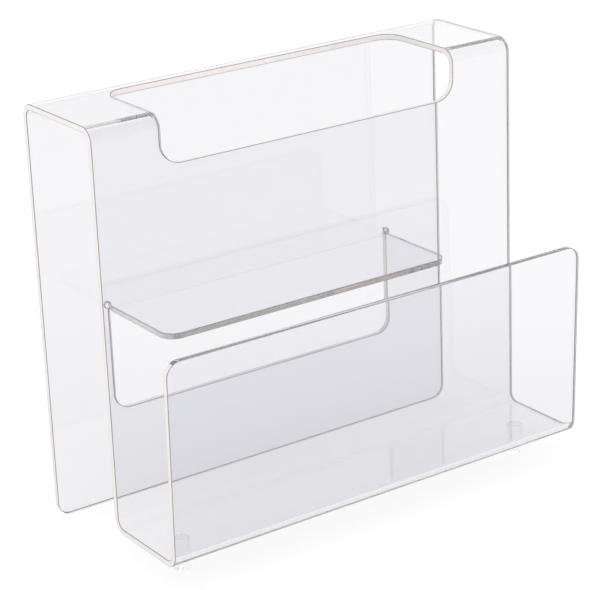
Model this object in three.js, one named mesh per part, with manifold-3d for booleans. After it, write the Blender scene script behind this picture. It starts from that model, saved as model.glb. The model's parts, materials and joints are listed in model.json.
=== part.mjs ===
// Magazine rack: one clear acrylic sheet, cut flat and bent along hot lines, on two round rod feet.
// Millimetres, +Z up. The origin is on the table under the middle of the rack's bounding box.
// X runs along the rack's length, and the back panel is on the +Y side.
//
// Seen from one end, the sheet goes up the back, forward over the roof, down the middle wall,
// forward under the pocket and up the front panel. A flap cut out of the back panel is folded
// forward as the floor of the rear compartment. Both ends of the rack are open.
import * as THREE from 'three';
import { mergeVertices } from 'three/addons/utils/BufferGeometryUtils.js';
import Module from 'manifold-3d';

const wasm = await Module();
wasm.setup();

// Driving dimensions of the sheet
const LENGTH = 400;                 // end to end
const HEIGHT = 353.5;               // table to the top of the roof
const THICKNESS = 5;                // of the sheet
const REAR_DEPTH = 104.5;           // over the rear compartment, outside to outside
const POCKET_DEPTH = 84;            // from the middle wall's front face to the front panel's front face
const POCKET_CLEARANCE = 24.5;      // table to the underside of the pocket floor
const FRONT_HEIGHT = 170.5;         // underside of the pocket floor to the front panel's top edge
const FRONT_LEAN = THREE.MathUtils.degToRad(1.5);   // the front panel opens outwards
const BEND_RADIUS = 7;              // inside radius of the four long bends
const BACK_CORNER = 12;             // lower corners of the back panel
const FRONT_CORNER = 12.5;          // upper corners of the front panel

// The hand opening, cut through the roof and down into the middle wall
const OPENING_HALF = 140;           // half its length
const OPENING_REACH = 19.5;         // roof left standing between the opening and the back face
const OPENING_DROP = 40.5;          // roof's top down to the opening's lower edge
const OPENING_REAR_CORNER = 17;
const OPENING_LOWER_CORNER = 17;

// The flap, and the window that it leaves in the back panel
const WINDOW_HALF = 140;            // half its length
const WINDOW_BOTTOM = 80;           // above the table
const WINDOW_CORNER = 13;
const FLAP_HALF = 139.5;            // half the flap's length
const FLAP_UNDERSIDE = 167.5;       // above the table
const FLAP_BEND_RADIUS = 2.5;       // inside radius of the flap's bend
const KERF = WINDOW_HALF - FLAP_HALF;   // width of the cut that frees the flap
const RELIEF_RADIUS = 2.5;          // round end of that cut, beside the bend
const RELIEF_OFFSET = 1;            // from the window's end out to the relief's centre

// The feet
const FOOT_DIAMETER = 12.7;
const FOOT_INSET = 31;              // from the end of the rack to the foot's centre
const FOOT_SETBACK = 40;            // from the middle wall's front face to the foot's centre
const FOOT_CHAMFER = 0.5;

// Fineness of the faceted curves
const BEND_STEPS = 10;              // facets in a long bend
const CORNER_STEPS = 10;            // facets in a rounded corner
const FOOT_SIDES = 48;
const RELIEF_SIDES = 40;
const MARGIN = 1;                   // how far a cutter reaches past the face that it cuts
const MERGE_DISTANCE = 1e-4;        // corners closer than this are one corner

const HALF_SHEET = THICKNESS / 2;
const OUTER_BEND = BEND_RADIUS + THICKNESS;
const FLAP_OUTER_BEND = FLAP_BEND_RADIUS + THICKNESS;
const FLAP_HINGE = FLAP_UNDERSIDE + FLAP_OUTER_BEND;    // height at which the flap leaves the panel

// Along Y, measured from the middle wall's front face: the front panel's top edge is the
// foremost point, and the back face is the rearmost one.
const FRONT_RISE = (FRONT_HEIGHT - HALF_SHEET) / Math.cos(FRONT_LEAN);
const FOREMOST = -POCKET_DEPTH + HALF_SHEET - FRONT_RISE * Math.sin(FRONT_LEAN)
  - HALF_SHEET * Math.cos(FRONT_LEAN);
const MIDDLE_FACE = -(REAR_DEPTH + FOREMOST) / 2;
const BACK_FACE = MIDDLE_FACE + REAR_DEPTH;

const ACRYLIC = { color: 0xf4f3f7, roughness: 0.04, metalness: 0, transparent: true, opacity: 0.3 };

// A solid for cutting and joining, made from any closed geometry.
function solid(geometry) {
  const bare = geometry.clone();
  bare.deleteAttribute('normal');
  bare.deleteAttribute('uv');
  const merged = mergeVertices(bare, MERGE_DISTANCE);
  return new wasm.Manifold(new wasm.Mesh({
    numProp: 3,
    vertProperties: new Float32Array(merged.attributes.position.array),
    triVerts: new Uint32Array(merged.index.array),
  }));
}

// The drawable geometry of a finished solid.
function surface(manifold) {
  const mesh = manifold.getMesh();
  const geometry = new THREE.BufferGeometry();
  geometry.setAttribute('position', new THREE.BufferAttribute(mesh.vertProperties, 3));
  geometry.setIndex(new THREE.BufferAttribute(mesh.triVerts, 1));
  geometry.computeVertexNormals();
  return geometry;
}

const X_AXIS = new THREE.Vector3(1, 0, 0);
const Y_AXIS = new THREE.Vector3(0, 1, 0);
const Z_AXIS = new THREE.Vector3(0, 0, 1);

// A flat outline given depth, centred on its own plane. The outline lies in YZ for 'x',
// in XZ for 'y' and in XY for 'z', and the depth runs along the named axis.
function prism(shape, depth, axis) {
  const bases = {
    x: [Y_AXIS, Z_AXIS, X_AXIS],
    y: [X_AXIS, Z_AXIS, Y_AXIS.clone().negate()],
    z: [X_AXIS, Y_AXIS, Z_AXIS],
  };
  const geometry = new THREE.ExtrudeGeometry(shape, {
    depth,
    bevelEnabled: false,
    curveSegments: CORNER_STEPS,
  });
  geometry.translate(0, 0, -depth / 2);
  return geometry.applyMatrix4(new THREE.Matrix4().makeBasis(...bases[axis]));
}

// The closed outline of a bent strip. The strip's middle line follows the given points,
// and is bent at each inner point with the given radius, measured at the middle line.
function stripOutline(points, radius) {
  const stations = [];
  for (let i = 0; i < points.length; i += 1) {
    const before = points[Math.max(i - 1, 0)];
    const after = points[Math.min(i + 1, points.length - 1)];
    const incoming = i > 0 ? points[i].clone().sub(before) : after.clone().sub(points[i]);
    const outgoing = i < points.length - 1 ? after.clone().sub(points[i]) : incoming.clone();
    const heading = incoming.angle();
    const turn = Math.atan2(incoming.cross(outgoing), incoming.dot(outgoing));
    const side = Math.sign(turn);
    const reach = radius * Math.tan(Math.abs(turn) / 2);
    const start = points[i].clone().sub(incoming.clone().setLength(reach));
    const steps = side === 0 ? 0 : BEND_STEPS;
    for (let k = 0; k <= steps; k += 1) {
      const angle = heading + turn * (steps === 0 ? 0 : k / steps);
      const normal = new THREE.Vector2(-Math.sin(angle), Math.cos(angle));
      const first = new THREE.Vector2(-Math.sin(heading), Math.cos(heading));
      const arc = first.sub(normal).multiplyScalar(side * radius);
      stations.push({ point: start.clone().add(arc), normal });
    }
  }
  const left = stations.map(({ point, normal }) => point.clone().addScaledVector(normal, HALF_SHEET));
  const right = stations.map(({ point, normal }) => point.clone().addScaledVector(normal, -HALF_SHEET));
  return new THREE.Shape([...left, ...right.reverse()]);
}

// A rectangle, with its lower corners and its upper corners rounded.
function roundedRectangle(left, bottom, right, top, lower, upper) {
  const shape = new THREE.Shape();
  shape.moveTo(left + lower, bottom);
  shape.lineTo(right - lower, bottom);
  if (lower > 0) shape.absarc(right - lower, bottom + lower, lower, -Math.PI / 2, 0);
  shape.lineTo(right, top - upper);
  if (upper > 0) shape.absarc(right - upper, top - upper, upper, 0, Math.PI / 2);
  shape.lineTo(left + upper, top);
  if (upper > 0) shape.absarc(left + upper, top - upper, upper, Math.PI / 2, Math.PI);
  shape.lineTo(left, bottom + lower);
  if (lower > 0) shape.absarc(left + lower, bottom + lower, lower, Math.PI, 1.5 * Math.PI);
  return shape;
}

// What is cut away to round a corner. The corner is at the origin, and right and up (1 or -1)
// say on which side of the material it is.
function cornerOffcut(radius, right, up) {
  const shape = new THREE.Shape();
  shape.moveTo(right * MARGIN, up * MARGIN);
  shape.lineTo(-right * radius, up * MARGIN);
  for (let k = 0; k <= CORNER_STEPS; k += 1) {
    const angle = (k / CORNER_STEPS) * (Math.PI / 2);
    shape.lineTo(right * radius * (Math.sin(angle) - 1), up * radius * (Math.cos(angle) - 1));
  }
  shape.lineTo(right * MARGIN, -up * radius);
  return shape;
}

// The sheet's middle line along Y and Z: at the front panel's foot, and at its top edge.
const FLOOR_LINE = POCKET_CLEARANCE + HALF_SHEET;
const FRONT_LINE = MIDDLE_FACE - POCKET_DEPTH + HALF_SHEET;
const FRONT_TIP = new THREE.Vector2(
  FRONT_LINE - FRONT_RISE * Math.sin(FRONT_LEAN),
  FLOOR_LINE + FRONT_RISE * Math.cos(FRONT_LEAN),
);

// The sheet's section: back, roof, middle wall, pocket floor and leaning front panel.
function rackSection() {
  const back = BACK_FACE - HALF_SHEET;
  const middle = MIDDLE_FACE + HALF_SHEET;
  return stripOutline([
    new THREE.Vector2(back, 0),
    new THREE.Vector2(back, HEIGHT - HALF_SHEET),
    new THREE.Vector2(middle, HEIGHT - HALF_SHEET),
    new THREE.Vector2(middle, FLOOR_LINE),
    new THREE.Vector2(FRONT_LINE, FLOOR_LINE),
    FRONT_TIP,
  ], BEND_RADIUS + HALF_SHEET);
}

// The hand opening, as one cutter for the roof and one for the middle wall.
function handOpening() {
  const rear = BACK_FACE - OPENING_REACH;
  const front = MIDDLE_FACE - MARGIN;
  const bottom = HEIGHT - OPENING_DROP;
  const top = HEIGHT + MARGIN;
  const inRoof = roundedRectangle(-OPENING_HALF, front, OPENING_HALF, rear, 0, OPENING_REAR_CORNER);
  const inWall = roundedRectangle(-OPENING_HALF, bottom, OPENING_HALF, top, OPENING_LOWER_CORNER, 0);
  const roofDepth = OUTER_BEND + MARGIN;
  const roofCutter = prism(inRoof, roofDepth, 'z').translate(0, 0, top - roofDepth / 2);
  const wallCutter = prism(inWall, roofDepth, 'y').translate(0, front + roofDepth / 2, 0);
  return solid(roofCutter).add(solid(wallCutter));
}

// The window in the back panel, with the round relief beside each end of the flap's bend.
function backWindow() {
  const depth = THICKNESS + 2 * MARGIN;
  const centre = BACK_FACE - HALF_SHEET;
  const outline = roundedRectangle(-WINDOW_HALF, WINDOW_BOTTOM, WINDOW_HALF, FLAP_HINGE, WINDOW_CORNER, 0);
  let cutter = solid(prism(outline, depth, 'y').translate(0, centre, 0));
  for (const side of [-1, 1]) {
    const relief = new THREE.CylinderGeometry(RELIEF_RADIUS, RELIEF_RADIUS, depth, RELIEF_SIDES);
    relief.translate(side * (WINDOW_HALF + RELIEF_OFFSET), centre, FLAP_HINGE - RELIEF_RADIUS);
    cutter = cutter.add(solid(relief));
  }
  return cutter;
}

// The flap, as long as the window is high once its bend has taken up its share.
function flap() {
  const middleRadius = FLAP_BEND_RADIUS + HALF_SHEET;
  const bendLength = middleRadius * Math.PI / 2;
  const straight = FLAP_HINGE - WINDOW_BOTTOM - KERF - bendLength;
  const back = BACK_FACE - HALF_SHEET;
  const edge = back - middleRadius - straight;
  const height = FLAP_UNDERSIDE + HALF_SHEET;
  const section = stripOutline([
    new THREE.Vector2(back, FLAP_HINGE + MARGIN),
    new THREE.Vector2(back, height),
    new THREE.Vector2(edge, height),
  ], middleRadius);
  let piece = solid(prism(section, 2 * FLAP_HALF, 'x'));
  for (const side of [-1, 1]) {
    const offcut = prism(cornerOffcut(WINDOW_CORNER, side, -1), THICKNESS + 2 * MARGIN, 'z');
    piece = piece.subtract(solid(offcut.translate(side * FLAP_HALF, edge, height)));
  }
  return piece;
}

// Rounds the back panel's lower corners and the front panel's upper ones.
function outerCorners() {
  const depth = THICKNESS + 2 * MARGIN;
  const offcuts = [];
  for (const side of [-1, 1]) {
    const lower = prism(cornerOffcut(BACK_CORNER, side, -1), depth, 'y');
    lower.translate(side * LENGTH / 2, BACK_FACE - HALF_SHEET, 0);
    offcuts.push(solid(lower));
    const upper = prism(cornerOffcut(FRONT_CORNER, side, 1), depth, 'y').rotateX(FRONT_LEAN);
    upper.translate(side * LENGTH / 2, FRONT_TIP.x, FRONT_TIP.y);
    offcuts.push(solid(upper));
  }
  return offcuts;
}

// The whole bent sheet.
function bentSheet() {
  let sheet = solid(prism(rackSection(), LENGTH, 'x'));
  sheet = sheet.subtract(handOpening());
  sheet = sheet.subtract(backWindow());
  for (const offcut of outerCorners()) {
    sheet = sheet.subtract(offcut);
  }
  return surface(sheet.add(flap()));
}

// One foot: a short length of clear rod, its lower rim chamfered.
function rodFoot() {
  const radius = FOOT_DIAMETER / 2;
  const profile = [
    new THREE.Vector2(0, 0),
    new THREE.Vector2(radius - FOOT_CHAMFER, 0),
    new THREE.Vector2(radius, FOOT_CHAMFER),
    new THREE.Vector2(radius, POCKET_CLEARANCE),
    new THREE.Vector2(0, POCKET_CLEARANCE),
  ];
  return new THREE.LatheGeometry(profile, FOOT_SIDES).rotateX(Math.PI / 2);
}

function part(name, geometry) {
  const mesh = new THREE.Mesh(geometry, new THREE.MeshStandardMaterial(ACRYLIC));
  mesh.name = name;
  return mesh;
}

const rack = new THREE.Group();
rack.add(part('bent_sheet', bentSheet()));

for (const [name, side] of [['foot_left', -1], ['foot_right', 1]]) {
  const foot = part(name, rodFoot());
  foot.position.set(side * (LENGTH / 2 - FOOT_INSET), MIDDLE_FACE - FOOT_SETBACK, 0);
  rack.add(foot);
}

export default rack;
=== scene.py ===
"""Looks of a clear acrylic magazine rack, built round its CAD frame.

The rack is one acrylic sheet, bent along four long lines, with a flap bent out of its back
panel, and it stands on the back panel's lower edge and two feet of clear rod.
Run as a script: main() registers the tools below and calls them in order.
"""

import json
import math

import bmesh
import bpy
from mathutils import Matrix, Vector

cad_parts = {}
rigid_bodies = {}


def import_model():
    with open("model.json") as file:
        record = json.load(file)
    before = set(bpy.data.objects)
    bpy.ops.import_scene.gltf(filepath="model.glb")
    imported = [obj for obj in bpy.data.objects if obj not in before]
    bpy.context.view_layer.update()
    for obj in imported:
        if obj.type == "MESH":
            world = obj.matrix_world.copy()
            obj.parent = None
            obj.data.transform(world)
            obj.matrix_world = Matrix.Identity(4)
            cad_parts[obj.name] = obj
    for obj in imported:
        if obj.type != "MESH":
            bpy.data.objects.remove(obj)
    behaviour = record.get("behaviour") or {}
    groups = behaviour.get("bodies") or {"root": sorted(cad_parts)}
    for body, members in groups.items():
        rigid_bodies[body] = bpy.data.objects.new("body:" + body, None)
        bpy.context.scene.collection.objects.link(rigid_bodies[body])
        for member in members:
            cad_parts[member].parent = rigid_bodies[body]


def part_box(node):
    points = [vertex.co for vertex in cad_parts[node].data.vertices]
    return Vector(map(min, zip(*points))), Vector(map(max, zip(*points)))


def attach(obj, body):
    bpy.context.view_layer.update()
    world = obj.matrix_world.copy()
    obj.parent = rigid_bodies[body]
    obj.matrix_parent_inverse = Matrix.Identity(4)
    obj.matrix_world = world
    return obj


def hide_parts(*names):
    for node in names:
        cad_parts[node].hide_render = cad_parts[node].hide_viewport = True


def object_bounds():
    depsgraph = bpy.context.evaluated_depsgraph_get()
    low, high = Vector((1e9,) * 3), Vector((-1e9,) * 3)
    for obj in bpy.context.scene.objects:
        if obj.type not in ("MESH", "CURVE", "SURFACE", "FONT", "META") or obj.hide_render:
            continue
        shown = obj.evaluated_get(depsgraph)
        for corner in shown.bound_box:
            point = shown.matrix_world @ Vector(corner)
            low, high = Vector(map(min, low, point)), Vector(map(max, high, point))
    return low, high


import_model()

bl_info = {
    "name": "Clear Acrylic Magazine Rack",
    "version": (1, 0, 0),
    "blender": (4, 5, 0),
    "location": "View3D > Sidebar > Rack",
    "description": "Models a bent acrylic magazine rack and its stage round a packed frame",
    "category": "Object",
}

CAD_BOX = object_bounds()
SHEET_LOW, SHEET_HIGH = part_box("bent_sheet")
MM = 0.001

# Fineness of the rounded shapes, as the number of facets
BEND_STEPS = 24
CORNER_STEPS = 14
ARRIS_STEPS = 2
ROD_SIDES = 96
RIM_STEPS = 6

# How the mesh tools tell parts of a mesh apart
OVERCUT = 3 * MM
NEAR = 0.1 * MM
DOUBLES = 0.001 * MM
STRAIGHT = 0.99
FACING = 0.9
SIDEWAYS = 0.5
QUARTER = math.pi / 2
ARRIS_ANGLE = math.radians(50)
SMOOTH_ANGLE = math.radians(40)

# Material slots of the sheet, after its gloss faces in slot 0
EDGE, ARRIS = 1, 2

# Optics: light runs far inside the sheet before it leaves at a polished edge
ACRYLIC_IOR = 1.49
EDGE_BOUNCES = 64


# ---------------------------------------------------------------- settings


def length(name, description, default):
    """A length property in metres, given in millimetres."""
    return bpy.props.FloatProperty(
        name=name, description=description, default=default * MM, unit="LENGTH", precision=5
    )


def colour(name, description, hexadecimal):
    """A colour property whose default is an sRGB hex value."""
    return bpy.props.FloatVectorProperty(
        name=name,
        description=description,
        default=linear(hexadecimal),
        size=3,
        min=0,
        max=1,
        subtype="COLOR",
    )


def share(name, description, default):
    """A property from 0 to 1."""
    return bpy.props.FloatProperty(
        name=name, description=description, default=default, min=0, max=1, subtype="FACTOR"
    )


def linear(hexadecimal):
    """Turns an sRGB hex value such as 'f0eee8' into three linear numbers."""
    channels = [int(hexadecimal[i : i + 2], 16) / 255 for i in (0, 2, 4)]
    return tuple(c / 12.92 if c <= 0.04045 else ((c + 0.055) / 1.055) ** 2.4 for c in channels)


class RackSheetSettings(bpy.types.PropertyGroup):
    """Sizes of the bent sheet that its box doesn't give."""

    thickness: length("Thickness", "Thickness of the sheet", 5)
    bend_radius: length("Bend radius", "Inside radius of the four long bends", 7)
    rear_depth: length("Rear depth", "Over the rear compartment, outside to outside", 104.5)
    pocket_depth: length("Pocket depth", "Middle wall's face to the front panel's, low down", 84)
    pocket_clearance: length("Pocket clearance", "Table to the underside of the pocket floor", 24.5)
    front_height: length("Front height", "Pocket floor's underside to the front panel's top", 170.5)
    front_lean: bpy.props.FloatProperty(
        name="Front lean",
        description="How far the front panel leans outwards",
        default=math.radians(1.5),
        subtype="ANGLE",
    )
    back_corner: length("Back corner", "Radius of the back panel's lower corners", 12)
    front_corner: length("Front corner", "Radius of the front panel's upper corners", 12.5)
    opening_half: length("Opening half length", "Half the length of the hand opening", 140)
    opening_reach: length("Opening reach", "Roof left between the opening and the back face", 19.5)
    opening_drop: length("Opening drop", "Roof's top to the opening's lower edge", 40.5)
    opening_rear_corner: length("Opening rear corner", "Radius of its corners in the roof", 17)
    opening_lower_corner: length("Opening lower corner", "Radius of its corners in the wall", 17)
    window_half: length("Window half length", "Half the length of the back panel's window", 140)
    window_bottom: length("Window bottom", "Table to the window's lower edge", 80)
    window_corner: length("Window corner", "Radius of the window's and the flap's corners", 13)
    flap_half: length("Flap half length", "Half the length of the flap", 139.5)
    flap_underside: length("Flap underside", "Table to the underside of the flap", 167.5)
    flap_bend_radius: length("Flap bend radius", "Inside radius of the flap's bend", 2.5)
    relief_radius: length("Relief radius", "Radius of the slot's round end beside the flap", 2.5)
    relief_reach: length("Relief reach", "How far the slot's end passes the window", 3.5)
    arris: length("Arris", "Width scraped off each sharp edge", 0.5)


class RackFootSettings(bpy.types.PropertyGroup):
    """Sizes of the rod feet that their boxes don't give."""

    rim: length("Rim", "Radius of the foot's rounded lower rim", 0.8)
    recess: length("Recess", "Depth of the turned recess in the foot's underside", 0.4)
    bond_gap: length("Bond gap", "Left under the pocket floor for the bond", 0.05)


class RackFinishSettings(bpy.types.PropertyGroup):
    """Colours of the acrylic."""

    sheet_tint: colour("Sheet tint", "What white becomes through one thickness of sheet", "efeff2")
    rod_tint: colour("Rod tint", "What white becomes through the rod", "fafafc")
    edge_tint: colour("Edge tint", "Tone of a flame-polished edge against white", "f3eeea")
    # Painted shade: the arris grey draws the dark refraction outline round every panel
    arris_tint_painted_outline: colour("Arris tint", "Grey of the scraped arris", "908e93")
    face_clarity: share("Face clarity", "Light that the gloss faces don't scatter", 1.0)
    edge_clarity: share("Edge clarity", "Light that the polished edges don't scatter", 0.25)
    arris_clarity: share("Arris clarity", "Light that the scraped arrises don't scatter", 0.35)
    depth_tint: colour("Depth tint", "What long paths through the sheet turn to", "f2eee9")
    depth_density: bpy.props.FloatProperty(
        name="Depth density",
        description="How fast the acrylic darkens with depth, per metre",
        default=5.0,
        min=0,
    )


class RackStageSettings(bpy.types.PropertyGroup):
    """Camera, floor and light."""

    azimuth: bpy.props.FloatProperty(
        name="Azimuth", description="Camera's angle round the rack", default=math.radians(-34.21),
        subtype="ANGLE",
    )
    elevation: bpy.props.FloatProperty(
        name="Elevation", description="Camera's angle above the table",
        default=math.radians(20.51), subtype="ANGLE",
    )
    roll: bpy.props.FloatProperty(
        name="Roll", description="Camera's tilt about its own axis",
        default=math.radians(-2.27), subtype="ANGLE",
    )
    distance: length("Distance", "Camera to the middle of the rack", 1790.3)
    shift_right: length("Shift right", "Camera's offset to its own right", -11.5)
    shift_up: length("Shift up", "Camera's offset to its own top", -3.8)
    lens: bpy.props.FloatProperty(
        name="Lens", description="Focal length", default=132.3, unit="CAMERA"
    )
    floor_size: length("Floor size", "Side of the square floor", 24000)
    floor_gap: length("Floor gap", "Floor's depth under the rack", 0.05)
    # Painted glow: the board's emission stands in for light and hides the rack's shadow
    painted_floor_glow: bpy.props.FloatProperty(
        name="Floor glow", description="Light that comes up through the board", default=0.86, min=0
    )
    # Painted pool of light: the painted glow is stronger in front of the rack
    painted_front_glow: bpy.props.FloatProperty(
        name="Front glow", description="The same in front of the rack", default=1.4, min=0
    )
    painted_front_glow_reach: length("Front glow reach", "Where the front glow is full", 400)
    horizon_light: bpy.props.FloatProperty(
        name="Horizon light", description="Brightness of the surroundings low down", default=1.15,
        min=0,
    )
    zenith_light: bpy.props.FloatProperty(
        name="Zenith light", description="Brightness of the surroundings overhead", default=0.9,
        min=0,
    )
    softbox_power: bpy.props.FloatProperty(
        name="Softbox power", description="Power of the softbox, in watts", default=20, min=0
    )
    softbox_long: length("Softbox length", "The softbox's long side", 2400)
    softbox_short: length("Softbox width", "The softbox's short side", 1600)
    floor_colour: colour("Floor colour", "What the board reflects besides its own glow", "6e6e6e")


# ---------------------------------------------------------------- mesh tools


def only(obj):
    """Selects one object and nothing else."""
    if bpy.context.object is not None and bpy.context.object.mode != "OBJECT":
        bpy.ops.object.mode_set(mode="OBJECT")
    bpy.ops.object.select_all(action="DESELECT")
    obj.select_set(True)
    bpy.context.view_layer.objects.active = obj


def select_parts(obj, kind, wanted):
    """In edit mode, selects the faces or edges for which wanted(part) is true."""
    mesh = bmesh.from_edit_mesh(obj.data)
    bpy.ops.mesh.select_all(action="DESELECT")
    bpy.ops.mesh.select_mode(type=kind)
    parts = mesh.faces if kind == "FACE" else mesh.edges
    for part in parts:
        part.select_set(wanted(part))
    mesh.select_flush_mode()
    bmesh.update_edit_mesh(obj.data)


def middle(part):
    """The mean of a face's or an edge's corners."""
    return sum((v.co for v in part.verts), Vector()) / len(part.verts)


def round_edges(obj, wanted, radius, segments):
    """Rounds the chosen edges to a radius."""
    only(obj)
    bpy.ops.object.mode_set(mode="EDIT")
    select_parts(obj, "EDGE", wanted)
    bpy.ops.mesh.bevel(offset=radius, segments=segments, affect="EDGES")
    bpy.ops.object.mode_set(mode="OBJECT")


def along(edge, axis):
    """Whether an edge runs along X, Y or Z."""
    run = (edge.verts[0].co - edge.verts[1].co).normalized()
    return abs(getattr(run, axis)) > STRAIGHT


def tidy_mesh(obj):
    """Merges doubles and turns every face outwards."""
    only(obj)
    bpy.ops.object.mode_set(mode="EDIT")
    bpy.ops.mesh.select_all(action="SELECT")
    bpy.ops.mesh.remove_doubles(threshold=DOUBLES)
    bpy.ops.mesh.normals_make_consistent(inside=False)
    bpy.ops.object.mode_set(mode="OBJECT")


def bent_strip(name, width, thickness, start, heading, moves, steps):
    """A strip of sheet made by extruding and spinning its own end face.

    start is the (y, z) of its middle line and heading its direction, 0 along +Y and a
    quarter turn up. moves are ("go", length) or ("bend", angle, radius of the middle line).
    """
    bpy.ops.mesh.primitive_plane_add(size=1, location=(0, 0, 0))
    strip = bpy.context.object
    strip.name = name
    bpy.ops.object.mode_set(mode="EDIT")
    bpy.ops.transform.resize(value=(width, thickness, 1), center_override=(0, 0, 0))
    bpy.ops.transform.translate(value=(0, start[0], start[1]))
    y, z = start
    for move in moves:
        if move[0] == "go":
            dy, dz = move[1] * math.cos(heading), move[1] * math.sin(heading)
            bpy.ops.mesh.extrude_region_move(TRANSFORM_OT_translate={"value": (0, dy, dz)})
            y, z = y + dy, z + dz
            continue
        angle, radius = move[1:]
        side = math.copysign(radius, angle)
        centre_y, centre_z = y - side * math.sin(heading), z + side * math.cos(heading)
        # The operator turns the other way round its axis, so the axis points along -X.
        bpy.ops.mesh.spin(
            steps=steps, angle=angle, center=(0, centre_y, centre_z), axis=(-1, 0, 0)
        )
        heading += angle
        y, z = centre_y + side * math.sin(heading), centre_z - side * math.cos(heading)
    bpy.ops.object.mode_set(mode="OBJECT")
    tidy_mesh(strip)
    return strip


def block(name, low, high):
    """A box between two corners."""
    low, high = Vector(low), Vector(high)
    bpy.ops.mesh.primitive_cube_add(size=1, location=(0, 0, 0))
    made = bpy.context.object
    made.name = name
    bpy.ops.object.mode_set(mode="EDIT")
    bpy.ops.transform.resize(value=high - low, center_override=(0, 0, 0))
    bpy.ops.transform.translate(value=(low + high) / 2)
    bpy.ops.object.mode_set(mode="OBJECT")
    return made


def combine(obj, other, operation):
    """Cuts or joins another solid into obj, and deletes the other."""
    only(obj)
    cut = obj.modifiers.new("combine", "BOOLEAN")
    cut.operation = operation
    cut.solver = "EXACT"
    cut.object = other
    bpy.ops.object.modifier_apply(modifier=cut.name)
    bpy.data.objects.remove(other, do_unlink=True)


def require_closed(obj):
    """Stops with an error if the mesh has a hole or a stray face."""
    mesh = bmesh.new()
    mesh.from_mesh(obj.data)
    broken = sum(not edge.is_manifold for edge in mesh.edges)
    mesh.free()
    if broken:
        raise RuntimeError(f"{obj.name} isn't one closed body: {broken} edges are open or shared")


def finish_edges(obj, width, segments, material_index):
    """Scrapes an arris along every sharp edge and smooths the shading of the bends."""
    only(obj)
    bevel = obj.modifiers.new("arris", "BEVEL")
    bevel.material = material_index
    bevel.width = width
    bevel.segments = segments
    bevel.limit_method = "ANGLE"
    bevel.angle_limit = ARRIS_ANGLE
    # Clamping would shrink every arris to the length of the shortest edge in a bend.
    bevel.use_clamp_overlap = False
    bpy.ops.object.modifier_apply(modifier=bevel.name)
    tidy_mesh(obj)
    bpy.ops.object.shade_smooth_by_angle(angle=SMOOTH_ANGLE)
    even = obj.modifiers.new("even", "WEIGHTED_NORMAL")
    even.mode = "FACE_AREA"
    even.weight = 100
    even.keep_sharp = True
    bpy.ops.object.modifier_apply(modifier=even.name)


def give_materials(obj, materials):
    """Fills an object's material slots."""
    obj.data.materials.clear()
    for material in materials:
        obj.data.materials.append(material)


def mark_faces(obj, slot_index, wanted):
    """Gives the chosen faces a material slot."""
    for face in obj.data.polygons:
        if wanted(face):
            face.material_index = slot_index


# ---------------------------------------------------------------- materials

# Sizes of the patterns, as the spacing of their marks
HANDLING_SCRATCH = 6 * MM
SAW_DRAW = 1.5 * MM
SCRAPER_CHATTER = 0.8 * MM
TURNING_MARK = 2 * MM
HEAT_WAVE = 90 * MM
WAVE_DEPTH = 0.05 * MM
BOARD_MOTTLE = 40 * MM


def add_node(tree, kind, settings=None, links=None):
    """Adds a node, sets its values and links its inputs."""
    node = tree.nodes.new(kind)
    for name, value in (settings or {}).items():
        if name in node.inputs:
            node.inputs[name].default_value = value
        else:
            setattr(node, name, value)
    for name, source in (links or {}).items():
        tree.links.new(source, node.inputs[name])
    return node


def acrylic(name, tint, clarity, roughness, grain, finish):
    """Clear acrylic that varies a little in gloss and flatness.

    clarity is the share of light that isn't scattered at the surface, roughness the
    (smoothest, roughest) value, and grain the size of that variation.
    """
    material = bpy.data.materials.new(name)
    material.use_nodes = True
    tree = material.node_tree
    tree.nodes.clear()
    place = add_node(tree, "ShaderNodeTexCoord")
    streaks = add_node(
        tree,
        "ShaderNodeTexNoise",
        {"Scale": 1 / grain, "Detail": 4.0, "Roughness": 0.6},
        {"Vector": place.outputs["Object"]},
    )
    gloss = add_node(
        tree,
        "ShaderNodeMapRange",
        {"From Min": 0.35, "From Max": 0.75, "To Min": roughness[0], "To Max": roughness[1]},
        {"Value": streaks.outputs["Fac"]},
    )
    waves = add_node(
        tree,
        "ShaderNodeTexNoise",
        {"Scale": 1 / HEAT_WAVE, "Detail": 1.0},
        {"Vector": place.outputs["Object"]},
    )
    flatness = add_node(
        tree,
        "ShaderNodeBump",
        {"Strength": 0.15, "Distance": WAVE_DEPTH},
        {"Height": waves.outputs["Fac"]},
    )
    shader = add_node(
        tree,
        "ShaderNodeBsdfPrincipled",
        {"Base Color": (*tint, 1), "IOR": ACRYLIC_IOR, "Transmission Weight": clarity},
        {"Roughness": gloss.outputs["Result"], "Normal": flatness.outputs["Normal"]},
    )
    depth = add_node(
        tree,
        "ShaderNodeVolumeAbsorption",
        {"Color": (*finish.depth_tint, 1), "Density": finish.depth_density},
    )
    add_node(
        tree,
        "ShaderNodeOutputMaterial",
        None,
        {"Surface": shader.outputs["BSDF"], "Volume": depth.outputs["Volume"]},
    )
    return material


# Cast acrylic (PMMA) sheet as it comes off the casting glass: a true gloss, faint long waves
# left by the heat of bending, and a trace of handling scratches that only soften highlights.
def cast_face_material(finish):
    return acrylic("acrylic_cast_gloss_face", finish.sheet_tint, finish.face_clarity,
                   (0.0, 0.012), HANDLING_SCRATCH, finish)


# The same sheet where it was sawn, scraped and flame-polished: smooth, but the draw left along
# the cut scatters most of the light that comes through, so it looks pale and warm.
def polished_edge_material(finish):
    return acrylic("acrylic_flame_polished_edge", finish.edge_tint, finish.edge_clarity,
                   (0.02, 0.12), SAW_DRAW, finish)


# The narrow flat scraped along each corner of a sawn edge before it is polished. The blade leaves
# it matt,
# and its grey tint is painted shade: it draws the dark outline that refraction gives at an edge as
# a thin grey line round every panel.
def scraped_arris_painted_outline_material(finish):
    return acrylic("acrylic_scraped_arris_painted_outline", finish.arris_tint_painted_outline, finish.arris_clarity,
                   (0.3, 0.5), SCRAPER_CHATTER, finish)


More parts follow.
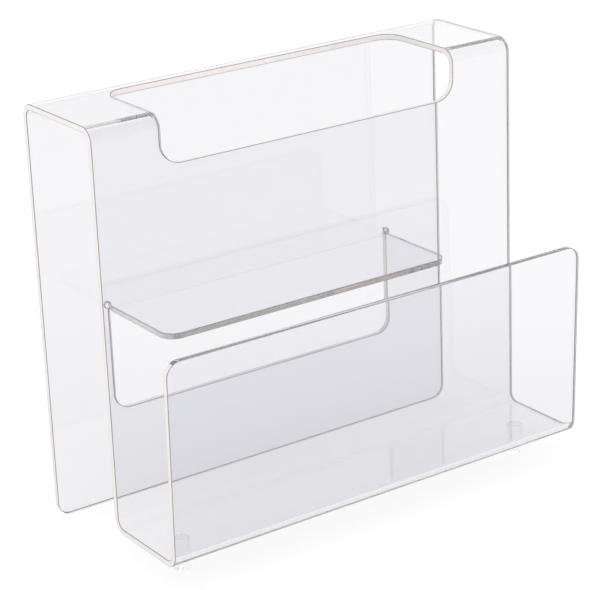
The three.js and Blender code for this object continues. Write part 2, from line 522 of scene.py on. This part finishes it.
# Extruded acrylic rod, parted off on a lathe and buffed: clear, with soft turning marks.
def turned_rod_material(finish):
    return acrylic("acrylic_turned_rod", finish.rod_tint, finish.face_clarity,
                   (0.01, 0.06), TURNING_MARK, finish)


# Matt white laminate board with a painted glow. Its emission, not a lamp, makes it glow under the
# rack and more brightly in front of it, a painted pool of light, so it stays pale and takes almost
# no shadow. It has a slight mottle and no shine.
def floor_material(stage):
    material = bpy.data.materials.new("white_matt_laminate_painted_glow")
    material.use_nodes = True
    tree = material.node_tree
    tree.nodes.clear()
    place = add_node(tree, "ShaderNodeTexCoord")
    mottle = add_node(
        tree,
        "ShaderNodeTexNoise",
        {"Scale": 1 / BOARD_MOTTLE, "Detail": 3.0},
        {"Vector": place.outputs["Object"]},
    )
    roughness = add_node(
        tree,
        "ShaderNodeMapRange",
        {"To Min": 0.85, "To Max": 1.0},
        {"Value": mottle.outputs["Fac"]},
    )
    axes = add_node(tree, "ShaderNodeSeparateXYZ", None, {"Vector": place.outputs["Object"]})
    # Painted glow, stronger in front of the rack as a painted pool of light
    painted_glow = add_node(
        tree,
        "ShaderNodeMapRange",
        {
            "interpolation_type": "SMOOTHSTEP",
            "From Min": -stage.painted_front_glow_reach,
            "From Max": SHEET_LOW.y,
            "To Min": stage.painted_front_glow,
            "To Max": stage.painted_floor_glow,
        },
        {"Value": axes.outputs["Y"]},
    )
    shader = add_node(
        tree,
        "ShaderNodeBsdfPrincipled",
        {
            "Base Color": (*stage.floor_colour, 1),
            "Specular IOR Level": 0.0,
            "Emission Color": (1, 1, 1, 1),
        },
        {
            "Roughness": roughness.outputs["Result"],
            "Emission Strength": painted_glow.outputs["Result"],
        },
    )
    add_node(tree, "ShaderNodeOutputMaterial", None, {"Surface": shader.outputs["BSDF"]})
    return material


# ---------------------------------------------------------------- pieces


class Section:
    """Where the sheet's middle line runs, in (y, z), seen from its left end."""

    def __init__(self, sheet):
        self.half = sheet.thickness / 2
        self.bend = sheet.bend_radius + self.half
        self.lean = sheet.front_lean
        self.back = SHEET_HIGH.y - self.half
        self.roof = SHEET_HIGH.z - self.half
        self.wall = SHEET_HIGH.y - sheet.rear_depth + self.half
        self.floor = SHEET_LOW.z + sheet.pocket_clearance + self.half
        self.front = self.wall - sheet.pocket_depth
        self.rise = (sheet.front_height - self.half) / math.cos(self.lean)
        self.tip = Vector((0, -self.rise * math.sin(self.lean), self.rise * math.cos(self.lean)))
        self.tip += Vector((0, self.front, self.floor))
        self.hinge = SHEET_LOW.z + sheet.flap_underside + sheet.flap_bend_radius + sheet.thickness


def bend_sheet(sheet, section):
    """The blank, bent four times: back, roof, middle wall, pocket floor and front panel."""
    bend = section.bend
    lean_turn = QUARTER - section.lean
    lean_reach = bend * math.tan(lean_turn / 2)
    moves = [
        ("go", section.roof - bend - SHEET_LOW.z),
        ("bend", QUARTER, bend),
        ("go", section.back - section.wall - 2 * bend),
        ("bend", QUARTER, bend),
        ("go", section.roof - section.floor - 2 * bend),
        ("bend", -QUARTER, bend),
        ("go", sheet.pocket_depth - bend - lean_reach),
        ("bend", -lean_turn, bend),
        ("go", section.rise - lean_reach),
    ]
    start = (section.back, SHEET_LOW.z)
    width = SHEET_HIGH.x - SHEET_LOW.x
    return bent_strip("acrylic_sheet", width, sheet.thickness, start, QUARTER, moves, BEND_STEPS)


def round_panel_corners(body, sheet, section):
    """Rounds the back panel's lower corners and the front panel's upper ones."""
    ends = (
        (Vector((0, section.back, SHEET_LOW.z)), sheet.back_corner),
        (section.tip, sheet.front_corner),
    )
    for end, radius in ends:

        def at_end(edge, end=end):
            place = middle(edge)
            across = abs(edge.verts[0].co.x - edge.verts[1].co.x) < NEAR
            return across and (place - end - Vector((place.x, 0, 0))).length < NEAR

        round_edges(body, at_end, radius, CORNER_STEPS)


def hand_opening(sheet, section):
    """Two cutters, one through the roof and one down into the middle wall."""
    half = sheet.opening_half
    top = SHEET_HIGH.z + OVERCUT
    depth = sheet.bend_radius + sheet.thickness
    face = section.wall - section.half
    rear = SHEET_HIGH.y - sheet.opening_reach
    bottom = SHEET_HIGH.z - sheet.opening_drop
    in_roof = block(
        "in_roof", (-half, face - OVERCUT, SHEET_HIGH.z - depth), (half, rear, top)
    )
    round_edges(in_roof, lambda edge: along(edge, "z") and middle(edge).y > rear - MM,
                sheet.opening_rear_corner, CORNER_STEPS)
    in_wall = block("in_wall", (-half, face - OVERCUT, bottom), (half, face + depth, top))
    round_edges(in_wall, lambda edge: along(edge, "y") and middle(edge).z < bottom + MM,
                sheet.opening_lower_corner, CORNER_STEPS)
    return in_roof, in_wall


def back_window(sheet, section):
    """Two cutters: the window, and the slot with round ends beside the flap's bend."""
    half = sheet.window_half
    low = section.back - section.half - OVERCUT
    high = section.back + section.half + OVERCUT
    bottom = SHEET_LOW.z + sheet.window_bottom
    window = block("window", (-half, low, bottom), (half, high, section.hinge))
    round_edges(window, lambda edge: along(edge, "y") and middle(edge).z < bottom + MM,
                sheet.window_corner, CORNER_STEPS)
    reach = half + sheet.relief_reach
    relief = block("relief", (-reach, low, section.hinge - 2 * sheet.relief_radius),
                   (reach, high, section.hinge))
    round_edges(relief, lambda edge: along(edge, "y"), sheet.relief_radius, CORNER_STEPS)
    tidy_mesh(relief)
    return window, relief


def bend_flap(sheet, section):
    """The flap, as long as the window is high once its bend has taken up its share."""
    radius = sheet.flap_bend_radius + section.half
    kerf = sheet.window_half - sheet.flap_half
    bottom = SHEET_LOW.z + sheet.window_bottom
    straight = section.hinge - bottom - kerf - radius * QUARTER
    moves = [("go", OVERCUT), ("bend", -QUARTER, radius), ("go", straight)]
    start = (section.back, section.hinge + OVERCUT)
    width = 2 * sheet.flap_half
    flap = bent_strip("flap", width, sheet.thickness, start, -QUARTER, moves, BEND_STEPS)
    edge_y = section.back - radius - straight
    round_edges(flap, lambda edge: along(edge, "z") and middle(edge).y < edge_y + MM,
                sheet.window_corner, CORNER_STEPS)
    return flap


def build_sheet(sheet, finish):
    """The whole bent sheet, with its hand opening, window and flap."""
    section = Section(sheet)
    materials = (
        cast_face_material(finish),
        polished_edge_material(finish),
        scraped_arris_painted_outline_material(finish),
    )
    body = bend_sheet(sheet, section)
    round_panel_corners(body, sheet, section)
    give_materials(body, materials)
    for cutter in (*hand_opening(sheet, section), *back_window(sheet, section)):
        give_materials(cutter, materials)
        mark_faces(cutter, EDGE, lambda face: True)
        combine(body, cutter, "DIFFERENCE")
    flap = bend_flap(sheet, section)
    give_materials(flap, materials)
    combine(body, flap, "UNION")
    tidy_mesh(body)
    mark_faces(
        body, EDGE, lambda face: abs(face.normal.x) > SIDEWAYS or face.material_index == EDGE
    )
    finish_edges(body, sheet.arris, ARRIS_STEPS, ARRIS)
    require_closed(body)
    return body


def build_foot(foot, low, high):
    """A length of rod, its underside turned a little hollow so that it stands on its rim."""
    radius = (high.x - low.x) / 2
    top = high.z - foot.bond_gap
    centre = Vector(((low.x + high.x) / 2, (low.y + high.y) / 2, (low.z + top) / 2))
    bpy.ops.object.select_all(action="DESELECT")
    bpy.ops.mesh.primitive_cylinder_add(
        vertices=ROD_SIDES, radius=radius, depth=top - low.z, location=centre
    )
    rod = bpy.context.object
    bpy.ops.object.transform_apply(location=True, rotation=False, scale=False)
    bpy.ops.object.mode_set(mode="EDIT")
    select_parts(rod, "FACE", lambda face: face.normal.z < -FACING)
    bpy.ops.mesh.inset(thickness=foot.rim * 2)
    bpy.ops.mesh.inset(thickness=foot.recess)
    bpy.ops.transform.translate(value=(0, 0, foot.recess))
    select_parts(rod, "EDGE", lambda edge: flat_ring(edge, low.z, centre, radius))
    bpy.ops.mesh.bevel(offset=foot.rim, segments=RIM_STEPS, affect="EDGES")
    select_parts(rod, "EDGE", lambda edge: flat_ring(edge, top, centre, radius))
    bpy.ops.mesh.bevel(offset=foot.rim / 4, segments=ARRIS_STEPS, affect="EDGES")
    bpy.ops.object.mode_set(mode="OBJECT")
    tidy_mesh(rod)
    require_closed(rod)
    bpy.ops.object.shade_smooth_by_angle(angle=SMOOTH_ANGLE)
    return rod


def flat_ring(edge, height, centre, radius):
    """Whether an edge belongs to the circle of this radius at this height."""
    on_level = all(abs(v.co.z - height) < NEAR for v in edge.verts)
    reaches = [(v.co - centre).xy.length for v in edge.verts]
    return on_level and all(abs(reach - radius) < NEAR for reach in reaches)


# ---------------------------------------------------------------- operators


class RACK_OT_sheet(bpy.types.Operator):
    """Bend the acrylic sheet, cut its openings and fold out its flap"""

    bl_idname = "rack.sheet"
    bl_label = "Bent Sheet"

    def execute(self, context):
        scene = context.scene
        piece = build_sheet(scene.rack_sheet, scene.rack_finish)
        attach(piece, "root")
        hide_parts("bent_sheet")
        return {"FINISHED"}


class RACK_OT_feet(bpy.types.Operator):
    """Turn one rod foot and set a copy under each end of the pocket"""

    bl_idname = "rack.feet"
    bl_label = "Rod Feet"

    def execute(self, context):
        scene = context.scene
        left_box, right_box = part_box("foot_left"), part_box("foot_right")
        left = build_foot(scene.rack_foot, *left_box)
        left.name = "rod_foot_left"
        give_materials(left, [turned_rod_material(scene.rack_finish)])
        right = left.copy()
        right.data = left.data.copy()
        right.name = "rod_foot_right"
        context.collection.objects.link(right)
        right.data.transform(Matrix.Translation(right_box[0] - left_box[0]))
        for piece, node in ((left, "foot_left"), (right, "foot_right")):
            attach(piece, "root")
            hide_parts(node)
        return {"FINISHED"}


class RACK_OT_stage(bpy.types.Operator):
    """Lay the floor, light it softly and set up the camera"""

    bl_idname = "rack.stage"
    bl_label = "Stage"

    def execute(self, context):
        stage = context.scene.rack_stage
        lay_floor(stage)
        light_softly(context.scene, stage)
        context.scene.camera = set_camera(stage)
        return {"FINISHED"}


# ---------------------------------------------------------------- stage

SOFTBOX_PLACE = Vector((-1.2, -0.6, 2.6))
HAZE_TOP = 0.4
SENSOR_WIDTH = 36
CLIP_DISTANCES = (0.05, 100)


def lay_floor(stage):
    """A flat white board, a hair below the rack so that no two faces coincide."""
    bpy.ops.object.select_all(action="DESELECT")
    bpy.ops.mesh.primitive_plane_add(size=stage.floor_size, location=(0, 0, 0))
    floor = bpy.context.object
    floor.name = "floor"
    floor.data.transform(Matrix.Translation((0, 0, -stage.floor_gap)))
    give_materials(floor, [floor_material(stage)])


def light_softly(scene, stage):
    """A bright haze round the horizon that falls off overhead, and one large softbox."""
    world = bpy.data.worlds.new("studio")
    scene.world = world
    world.use_nodes = True
    tree = world.node_tree
    tree.nodes.clear()
    direction = add_node(tree, "ShaderNodeTexCoord")
    axes = add_node(
        tree, "ShaderNodeSeparateXYZ", None, {"Vector": direction.outputs["Generated"]}
    )
    height = add_node(
        tree,
        "ShaderNodeMapRange",
        {
            "interpolation_type": "SMOOTHSTEP",
            "From Min": HAZE_TOP,
            "From Max": 1.0,
            "To Min": stage.horizon_light,
            "To Max": stage.zenith_light,
        },
        {"Value": axes.outputs["Z"]},
    )
    sky = add_node(
        tree,
        "ShaderNodeBackground",
        {"Color": (1, 1, 1, 1)},
        {"Strength": height.outputs["Result"]},
    )
    add_node(tree, "ShaderNodeOutputWorld", None, {"Surface": sky.outputs["Background"]})

    softbox = bpy.data.lights.new("softbox", "AREA")
    softbox.shape = "RECTANGLE"
    softbox.size, softbox.size_y = stage.softbox_long, stage.softbox_short
    softbox.energy = stage.softbox_power
    lamp = bpy.data.objects.new("softbox", softbox)
    bpy.context.collection.objects.link(lamp)
    lamp.location = SOFTBOX_PLACE
    lamp.rotation_euler = SOFTBOX_PLACE.to_track_quat("Z", "Y").to_euler()
    scene.view_settings.view_transform = "Standard"
    scene.cycles.max_bounces = EDGE_BOUNCES
    scene.cycles.glossy_bounces = EDGE_BOUNCES
    scene.cycles.transmission_bounces = EDGE_BOUNCES


def set_camera(stage):
    """A long lens looking down on the rack from its front left."""
    sin_a, cos_a = math.sin(stage.azimuth), math.cos(stage.azimuth)
    sin_e, cos_e = math.sin(stage.elevation), math.cos(stage.elevation)
    back = Vector((sin_a * cos_e, -cos_a * cos_e, sin_e))
    right = Vector((cos_a, sin_a, 0))
    turned = Matrix.Rotation(stage.roll, 3, back)
    right = turned @ right
    up = back.cross(right)
    low, high = (Vector(corner) for corner in CAD_BOX)
    place = (low + high) / 2 + stage.distance * back
    place += stage.shift_right * right + stage.shift_up * up
    data = bpy.data.cameras.new("camera")
    data.lens = stage.lens
    data.sensor_width = SENSOR_WIDTH
    data.sensor_fit = "HORIZONTAL"
    data.clip_start, data.clip_end = CLIP_DISTANCES
    camera = bpy.data.objects.new("camera", data)
    bpy.context.collection.objects.link(camera)
    axes = Matrix((right, up, back)).transposed()
    camera.matrix_world = Matrix.Translation(place) @ axes.to_4x4()
    return camera


class VIEW3D_PT_rack(bpy.types.Panel):
    """Buttons and sizes for each piece of the rack"""

    bl_label = "Magazine Rack"
    bl_space_type = "VIEW_3D"
    bl_region_type = "UI"
    bl_category = "Rack"

    def draw(self, context):
        rows = (
            ("rack.sheet", "rack_sheet"),
            ("rack.feet", "rack_foot"),
            ("", "rack_finish"),
            ("rack.stage", "rack_stage"),
        )
        for operator, group in rows:
            box = self.layout.box()
            if operator:
                box.operator(operator)
            settings = getattr(context.scene, group)
            for name in settings.__annotations__:
                box.prop(settings, name)


GROUPS = {
    "rack_sheet": RackSheetSettings,
    "rack_foot": RackFootSettings,
    "rack_finish": RackFinishSettings,
    "rack_stage": RackStageSettings,
}
TOOLS = (RACK_OT_sheet, RACK_OT_feet, RACK_OT_stage, VIEW3D_PT_rack)


def register():
    for tool in (*GROUPS.values(), *TOOLS):
        bpy.utils.register_class(tool)
    for name, group in GROUPS.items():
        setattr(bpy.types.Scene, name, bpy.props.PointerProperty(type=group))


def unregister():
    for name in GROUPS:
        delattr(bpy.types.Scene, name)
    for tool in (*reversed(TOOLS), *reversed(GROUPS.values())):
        bpy.utils.unregister_class(tool)


def main():
    """Builds the rack and its stage."""
    register()
    bpy.ops.rack.sheet()
    bpy.ops.rack.feet()
    bpy.ops.rack.stage()


if __name__ == "__main__":
    main()
